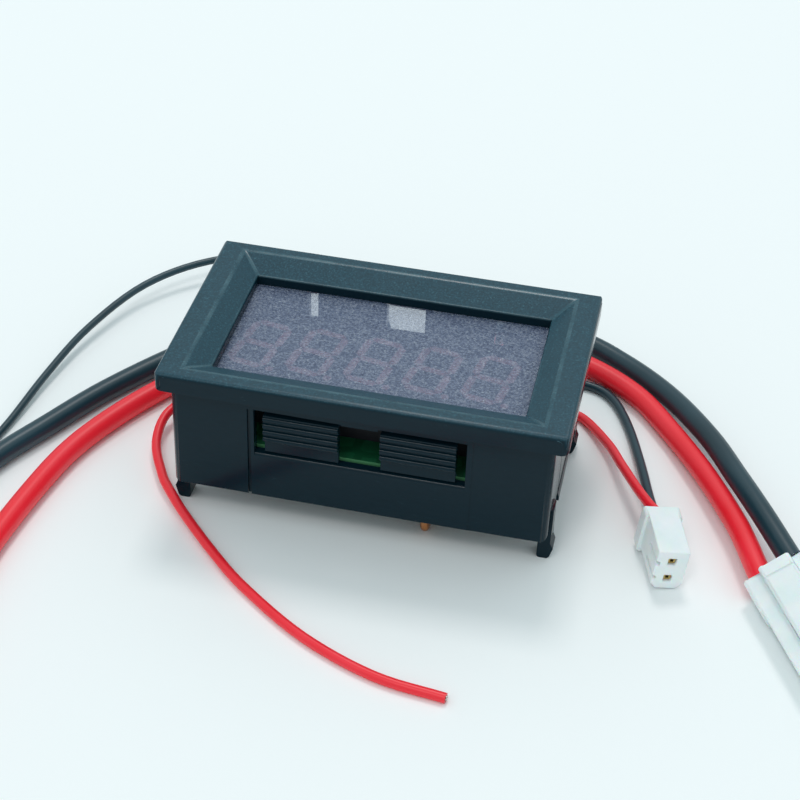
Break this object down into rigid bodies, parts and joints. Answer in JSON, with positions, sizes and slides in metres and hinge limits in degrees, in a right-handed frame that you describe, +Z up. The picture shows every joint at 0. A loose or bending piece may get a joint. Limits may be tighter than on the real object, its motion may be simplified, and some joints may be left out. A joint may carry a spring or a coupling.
{
  "type": "digital panel meter",
  "caption": "Snap-in digital panel meter with a bezelled display window, ribbed side clips, open rear, soldered thick and thin leads and two plugs.",
  "frame": {"origin": "middle of the meter's footprint on the table, under the centre of the bezel", "axes": "+X along the long side, +Y along the short side away from the side with the red lead, +Z up through the display"},
  "size_m": [0.1214, 0.1018, 0.021],
  "materials": {
    "case_abs": "moulded dark slate ABS, semi-gloss with a fine grain",
    "filter_tint": "frosted tinted polycarbonate sheet",
    "glue": "set hot-melt glue",
    "display_face": "matt black face",
    "segments": "milky cast resin, unlit",
    "tinned_metal": "tinned",
    "board_green": "green solder mask over glass laminate",
    "chip_black": "matt black epoxy moulding",
    "resistor_black": "dark coated ceramic",
    "capacitor_tan": "tan ceramic",
    "shunt_copper": "drawn copper-alloy wire",
    "solder": "bright solder",
    "lead_red": "glossy red PVC",
    "lead_black": "glossy black PVC",
    "plug_nylon": "natural white nylon, slightly translucent",
    "contact_brass": "pressed brass",
    "contact_tin": "tinned pressed brass"
  },
  "bodies": {
    "case": {"housing": "case_abs", "filter": "filter_tint", "glue_dabs": "glue", "display_shell": "display_face", "display_segments": "segments", "display_pins": "tinned_metal", "main_board": "board_green", "controller_chip": "chip_black", "chip_legs": "tinned_metal", "regulator": "chip_black", "resistors": "resistor_black", "capacitors": "capacitor_tan", "current_shunt": "shunt_copper", "solder_joints": "solder", "thick_red_left": "lead_red", "thick_black_left": "lead_black", "thin_black_left": "lead_black", "thin_red_left": "lead_red", "thick_black_right": "lead_black", "thick_red_right": "lead_red", "thin_red_right": "lead_red", "thin_black_right": "lead_black", "thick_red_tip": "tinned_metal", "thick_black_tip": "tinned_metal", "thin_black_tip": "tinned_metal", "small_plug": "plug_nylon", "small_contacts": "contact_brass", "large_plug": "plug_nylon", "large_contacts": "contact_tin"},
    "clip_front_left": {"clip_front_left": "case_abs"},
    "clip_front_right": {"clip_front_right": "case_abs"},
    "clip_back_left": {"clip_back_left": "case_abs"},
    "clip_back_right": {"clip_back_right": "case_abs"}
  },
  "joints": [
    {"name": "clip_front_left_flex", "type": "hinge", "parent": "case", "child": "clip_front_left", "pos_m": [-0.0069, -0.01252, 0.0108], "axis": [1, 0, 0], "range_deg": [-7, 0], "stiffness_Nm_per_rad": 0.02},
    {"name": "clip_front_right_flex", "type": "hinge", "parent": "case", "child": "clip_front_right", "pos_m": [0.0069, -0.01252, 0.0108], "axis": [1, 0, 0], "range_deg": [-7, 0], "stiffness_Nm_per_rad": 0.02},
    {"name": "clip_back_left_flex", "type": "hinge", "parent": "case", "child": "clip_back_left", "pos_m": [-0.0069, 0.01252, 0.0108], "axis": [1, 0, 0], "range_deg": [0, 7], "stiffness_Nm_per_rad": 0.02},
    {"name": "clip_back_right_flex", "type": "hinge", "parent": "case", "child": "clip_back_right", "pos_m": [0.0069, 0.01252, 0.0108], "axis": [1, 0, 0], "range_deg": [0, 7], "stiffness_Nm_per_rad": 0.02}
  ]
}
